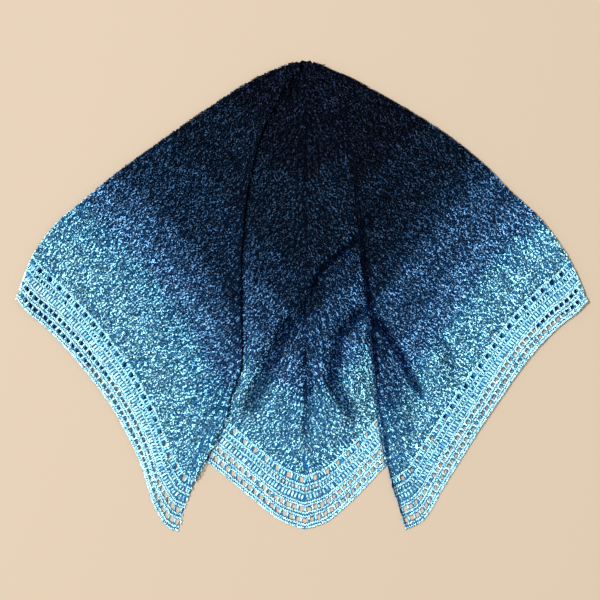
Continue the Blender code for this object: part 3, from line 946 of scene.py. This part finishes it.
def strand_group(gradient):
    """A plied strand: one lighter thread winds round it, with painted shade on its lower parts and in
    blotches where the gaps between the stitches lie.
    """
    usual = {"Shade Below Crest": 0.9, "Unevenness": 0.8, "Light Share": 0.5, "Dark Share": 0.3, "Gap Shade Share": 0.475}
    outputs = {"Colour": "Color", "Roughness": "Float", "Height": "Float"}
    group, given, out = new_group("plied strand", usual, outputs)
    fleck = read_attribute(group, "fleck")
    places = add_node(group, "UVMap", uv_map="yarn").outputs["UV"]
    split = add_node(group, "SeparateXYZ", {0: places})
    twist = maths(group, "MULTIPLY_ADD", split.outputs[0], 1 / TWIST, split.outputs[1])
    twist = maths(group, "MULTIPLY_ADD", fleck, FLECK_TURNS, twist)
    length = maths(group, "MULTIPLY_ADD", fleck, FLECK_THREADS, maths(group, "ROUND", twist))
    chance = add_node(group, "TexWhiteNoise", {"W": length}, noise_dimensions="1D").outputs["Value"]
    pale = paleness(group)
    light_share = maths(group, "MULTIPLY_ADD", pale, MORE_LIGHT, given["Light Share"])
    dark_share = maths(group, "MULTIPLY_ADD", pale, -LESS_DARK, given["Dark Share"])
    light_from = maths(group, "SUBTRACT", 1.0, light_share)
    thread = smooth_range(group, maths(group, "SUBTRACT", chance, light_from), *THREAD_RIM)
    dark = smooth_range(group, maths(group, "SUBTRACT", dark_share, chance), *THREAD_RIM)
    coords = add_node(group, "TexCoord").outputs["Object"]
    # Painted shade: blotches of noise darken the yarn where gaps between the stitches would lie in shade
    noise = add_node(group, "TexNoise", {"Vector": coords, "Scale": GAP_SHADE_SCALE, "Detail": 0.0})
    under = maths(group, "SUBTRACT", given["Gap Shade Share"], noise.outputs[0])
    gap = smooth_range(group, under, -GAP_SHADE_RIM, GAP_SHADE_RIM)
    plies = maths(group, "SINE", maths(group, "MULTIPLY", twist, 2 * np.pi * PLIES))
    plies = maths(group, "MULTIPLY_ADD", plies, 0.5, 0.5)
    yarn = add_node(group, "Group", node_tree=gradient)
    colour = mixed(group, thread, yarn.outputs["Threads"], yarn.outputs["Light Thread"])
    # Painted shade: the lower parts of each strand, by their height in it, take the dark tint, as do the
    # gap blotches and the dark stretches
    high = smooth_range(group, read_attribute(group, "deep"), *CREST)
    darker = times(group, colour, SHADE_AND_DARK_TINT)
    sunk = maths(group, "MULTIPLY", maths(group, "SUBTRACT", 1.0, high), given["Shade Below Crest"])
    sunk = maths(group, "MAXIMUM", maths(group, "MAXIMUM", sunk, dark), gap)
    colour = mixed(group, sunk, colour, darker)
    uneven = maths(group, "MULTIPLY_ADD", maths(group, "SUBTRACT", fleck, 0.5), given["Unevenness"], 1.0)
    # Painted light and shade: the colour is lighter on each ply's crest and darker in its groove
    shine = maths(group, "MULTIPLY_ADD", plies, *PLY_SHINE)
    colour = scaled(group, colour, maths(group, "MULTIPLY", uneven, shine))
    group.links.new(shaded(group, colour), out["Colour"])
    group.links.new(maths(group, "MULTIPLY_ADD", plies, *PLY_ROUGHNESS), out["Roughness"])
    group.links.new(plies, out["Height"])
    return group


def inside_group(gradient):
    """The inside of the cloth between the stitches: loose loops of yarn over painted shade in the gaps
    between them.
    """
    usual = {"Loops": 0.6, "Depths": 0.1, "Shading": 1.0}
    group, given, out = new_group("inside of the cloth", usual, {"Colour": "Color", "Height": "Float"})
    coords = add_node(group, "TexCoord").outputs["Object"]
    noise = add_node(group, "TexNoise", {"Vector": coords, "Scale": LOOP_SCALE, "Detail": 1.0})
    from_loop = maths(group, "ABSOLUTE", maths(group, "SUBTRACT", noise.outputs[0], 0.5))
    loop = maths(group, "SUBTRACT", 1.0, smooth_range(group, from_loop, 0.0, LOOP_RIM))
    yarn = add_node(group, "Group", node_tree=gradient)
    # Painted shade: the ground between the loops takes the dark tint, less of it as Depths rises
    dark = times(group, yarn.outputs["Threads"], SHADE_AND_DARK_TINT)
    dark = mixed(group, given["Depths"], dark, yarn.outputs["Threads"])
    bright = mixed(group, LOOP_LIGHT, yarn.outputs["Threads"], yarn.outputs["Light Thread"])
    colour = mixed(group, maths(group, "MULTIPLY", loop, given["Loops"]), dark, bright)
    group.links.new(shaded(group, colour, given["Shading"]), out["Colour"])
    group.links.new(loop, out["Height"])
    return group


def cloth_material(name, group, values, bump):
    """A matte yarn material that takes colour and height from a group."""
    material = bpy.data.materials.new(name)
    material.use_nodes = True
    tree = material.node_tree
    shader = tree.nodes["Principled BSDF"]
    look = add_node(tree, "Group", node_tree=group)
    for key, value in values.items():
        look.inputs[key].default_value = value
    height = add_node(tree, "Bump", {"Height": look.outputs["Height"], **bump})
    tree.links.new(look.outputs["Colour"], shader.inputs["Base Color"])
    tree.links.new(height.outputs["Normal"], shader.inputs["Normal"])
    if "Roughness" in look.outputs:
        tree.links.new(look.outputs["Roughness"], shader.inputs["Roughness"])
    else:
        shader.inputs["Roughness"].default_value = INSIDE_ROUGHNESS
    shader.inputs["Specular IOR Level"].default_value = YARN_SHINE
    return material


def plain_material(name, colour):
    material = bpy.data.materials.new(name)
    material.use_nodes = True
    shader = material.node_tree.nodes["Principled BSDF"]
    shader.inputs["Base Color"].default_value = colour
    shader.inputs["Roughness"].default_value = FLOOR_ROUGHNESS
    return material


# Crochet


def wing_shape(side):
    return {
        "points": lambda row, column: wing_points(side, row, column),
        "folds": WING_FOLDS[side], "first row": WING_SHOWN / DEPTH, "overhang": 0.4,
        "meshes": MESHES["wing"][side], "start": 0.0, "wide at": 0,
    }


def back_shape(side):
    return {
        "points": lambda row, column: back_points(side, row, column),
        "folds": BACK_FOLDS, "first row": NECK / DEPTH, "overhang": 0.8,
        "meshes": MESHES["back"], "start": MIDDLE_OF_MESH, "wide at": int(side == "left"),
    }


def work_body(cloth, piece, first, last):
    """Rows of clusters of tall stitches, numbered from the border inwards."""
    heads = (np.arange(TALL_PER_CLUSTER) - (TALL_PER_CLUSTER - 1) / 2) * CLUSTER / TALL_PER_CLUSTER
    for number in range(first, last):
        row = 1 - (BORDER_START + BODY_ROW * (number + 1)) / DEPTH
        if row < cloth.rows[0]:
            break
        length = cloth.lengths(row)
        shift = CLUSTER * (number % 2) / 2 - np.interp(row, cloth.rows, cloth.row_starts)
        counts = np.arange(*np.floor((length[[0, -1]] - shift) / CLUSTER + [0, 2]))
        middles = np.repeat(counts * CLUSTER + shift, TALL_PER_CLUSTER)
        lean = np.tile(heads, len(counts))
        seen = cloth.in_sight(row, middles + lean, length)
        middles, lean = middles[seen], lean[seen]
        piece.add(cloth, TALL_STITCHES, row, middles, lean=lean, foot=lean * GATHERED)


def work_border(cloth, piece, bands):
    """Rows of the border: short stitches, bars, and posts between the meshes."""
    shape = cloth.shape
    for stitch, outer, inner, *holes in bands:
        row = 1 - inner / DEPTH
        length = cloth.lengths(row)
        mesh = length[-1] / shape["meshes"]
        if stitch == "posts":
            posts = POSTS[holes[0]]
            first = shape["wide at"] if posts["every"] == 2 else 0
            counts = first + np.arange(-1, shape["meshes"] + 2) * posts["every"]
            at = (counts[:, None] + posts["at"]).ravel() - shape["start"]
        else:
            per_mesh = PER_MESH[stitch]
            at = (np.arange(shape["meshes"] * per_mesh + 2) + 0.5) / per_mesh
        places = length[-1] - at * mesh
        places = places[cloth.in_sight(row, places, length)]
        stitches, usual = BORDER_STITCHES[stitch]
        size = (mesh / MESH, (inner - outer) / usual)
        piece.add(cloth, stitches, row, places, size=size, wild=BORDER_WILD)


def crochet(name, stretch, shape, cloths, columns, border_columns, holes, finishes, **cut):
    """One stretch of the shawl: its two grounds and the stitches on them."""
    nodes = [f"{name}_{part}" for part in ("body", "border", "edging")]
    body_rows, border_rows = ground_rows(shape["first row"])
    ground = make_ground(
        name + "_ground", body_rows, columns, shape, stretch,
        finishes["body inside"], nodes[:1],
    )
    border_ground = make_ground(
        name + "_border_ground", border_rows, border_columns, shape, stretch,
        finishes["border inside"], nodes[1:], holes, HOLE_WAVER,
    )
    lower, upper = Piece(name + "_lower_rows", stretch), Piece(name + "_upper_rows", stretch)
    openwork, edging = Piece(name + "_openwork", stretch), Piece(name + "_edging_row", stretch)
    for cloth in cloths:
        work_body(cloth, lower, 0, LOWER_ROWS)
        work_body(cloth, upper, LOWER_ROWS, BODY_ROWS)
        work_border(cloth, openwork, BANDS[EDGING_BANDS:])
        work_border(cloth, edging, BANDS[:EDGING_BANDS])
    pieces = [
        border_ground,
        lower.build(finishes["body"], "body_yarn", nodes[0]),
        upper.build(finishes["body"], "body_yarn", nodes[0]),
        openwork.build(finishes["border"], "border_yarn", nodes[1]),
        edging.build(finishes["border"], "edging_yarn", nodes[2]),
    ]


def crochet_wing(side, finishes):
    name, shape = side + "_wing", wing_shape(side)
    roll = [float(column) for column in range(-len(ROLL_TURNS) - 1, 0)]
    columns = roll + list(np.linspace(0, 1 - EDGE_INSET / WING_WIDTH, int(WING_WIDTH / GROUND_CELL)))
    border_columns, kinds = border_grid(shape, roll)
    holes = open_cells(border_columns, kinds, 0)
    cloths = [Cloth(shape, name, WING_COLUMNS, staggered_at=0.5)]
    crochet(
        name, side, shape, cloths, columns, border_columns, holes, finishes,
        rests_on=["back_ground"], **CUT["wing"],
    )


def crochet_back(finishes):
    shapes = {side: back_shape(side) for side in SIDES}

    def points(row, column):
        halves = [shapes[side]["points"](row, 1 - np.abs(column)) for side in SIDES]
        return np.where(column[..., None] < 0, *halves)

    half = back_columns(coarse=14, fine=50)[:-1]
    columns = [share - 1 for share in half] + [0.0] + [1 - share for share in half[::-1]]
    grids = [border_grid(shapes[side], []) for side in SIDES]
    (left, left_kinds), (right, right_kinds) = grids
    border_columns = [share - 1 for share in left] + [1 - share for share in right[-2::-1]]
    left_open = open_cells(left, left_kinds, BACK_HOLES_FROM)
    right_open = open_cells(right, right_kinds, BACK_HOLES_FROM)
    last = len(border_columns) - 2
    holes = left_open | {(down, last - across) for down, across in right_open}
    read_at = back_columns(coarse=24, fine=100)
    cloths = [Cloth(shapes[side], "back", read_at, staggered_at=0.9) for side in SIDES]
    whole = {**shapes["left"], "points": points}
    crochet("back", "back", whole, cloths, columns, border_columns, holes, finishes, **CUT["back"])


# Studio


def make_floor():
    bm = bmesh.new()
    bmesh.ops.create_grid(bm, x_segments=1, y_segments=1, size=FLOOR_REACH)
    mesh = bpy.data.meshes.new("floor")
    bm.to_mesh(mesh)
    bm.free()
    mesh.materials.append(plain_material("pale floor", FLOOR_COLOUR))
    floor = bpy.data.objects.new("floor", mesh)
    bpy.context.scene.collection.objects.link(floor)


def make_lights():
    world = bpy.data.worlds.new("studio")
    world.use_nodes = True
    sky = world.node_tree.nodes["Background"]
    sky.inputs["Color"].default_value = (1, 1, 1, 1)
    sky.inputs["Strength"].default_value = SKY
    bpy.context.scene.world = world
    data = bpy.data.lights.new("key light", "AREA")
    data.shape, data.size, data.energy = "DISK", KEY_LIGHT["size"], KEY_LIGHT["power"]
    light = bpy.data.objects.new("key light", data)
    light.location = KEY_LIGHT["place"]
    light.rotation_euler = (-Vector(KEY_LIGHT["place"])).to_track_quat("-Z", "Y").to_euler()
    bpy.context.scene.collection.objects.link(light)


def make_camera():
    """A camera straight above the shawl, which frames it as the picture does."""
    data = bpy.data.cameras.new("camera")
    data.sensor_width = SENSOR
    data.lens = SENSOR * CAMERA_HEIGHT / (PICTURE * PIXEL * MM)
    camera = bpy.data.objects.new("camera", data)
    camera.location = (CAMERA_SHIFT["x"] * PIXEL * MM, CAMERA_SHIFT["y"] * PIXEL * MM, CAMERA_HEIGHT)
    bpy.context.scene.collection.objects.link(camera)
    bpy.context.scene.camera = camera
    bpy.context.scene.view_settings.view_transform = "Standard"


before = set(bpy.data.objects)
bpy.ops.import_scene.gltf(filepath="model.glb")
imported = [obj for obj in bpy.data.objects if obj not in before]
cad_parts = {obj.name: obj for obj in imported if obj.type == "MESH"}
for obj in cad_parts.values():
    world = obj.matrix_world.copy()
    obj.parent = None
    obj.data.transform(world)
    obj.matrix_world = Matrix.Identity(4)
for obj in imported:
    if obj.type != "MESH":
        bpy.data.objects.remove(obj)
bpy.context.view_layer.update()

gradient = gradient_group()
strand, inside = strand_group(gradient), inside_group(gradient)
fine = {"Strength": 0.5, "Distance": 0.0003}
coarse = {"Strength": 0.8, "Distance": 0.0008}
wrong_side = cloth_material("wrong side", inside, {"Loops": 0.9, "Depths": 0.25, "Shading": 0.0}, coarse)
body_inside = cloth_material("inside of the body", inside, {"Loops": 0.2, "Depths": 0.0}, coarse)
border_inside = cloth_material("inside of the border", inside, {"Loops": 0.25, "Depths": 0.0}, coarse)
border_look = {
    "Shade Below Crest": 1.0, "Unevenness": 0.5, "Light Share": 0.36, "Dark Share": 0.3, "Gap Shade Share": 0.26,
}
finishes = {
    "body": cloth_material("body yarn", strand, {"Shade Below Crest": 1.0, "Unevenness": 1.2}, fine),
    "border": cloth_material("border yarn", strand, border_look, fine),
    "body inside": [body_inside, wrong_side],
    "border inside": [border_inside, wrong_side],
}
for side in SIDES:
    crochet_wing(side, finishes)
crochet_back(finishes)
make_floor()
make_lights()
make_camera()
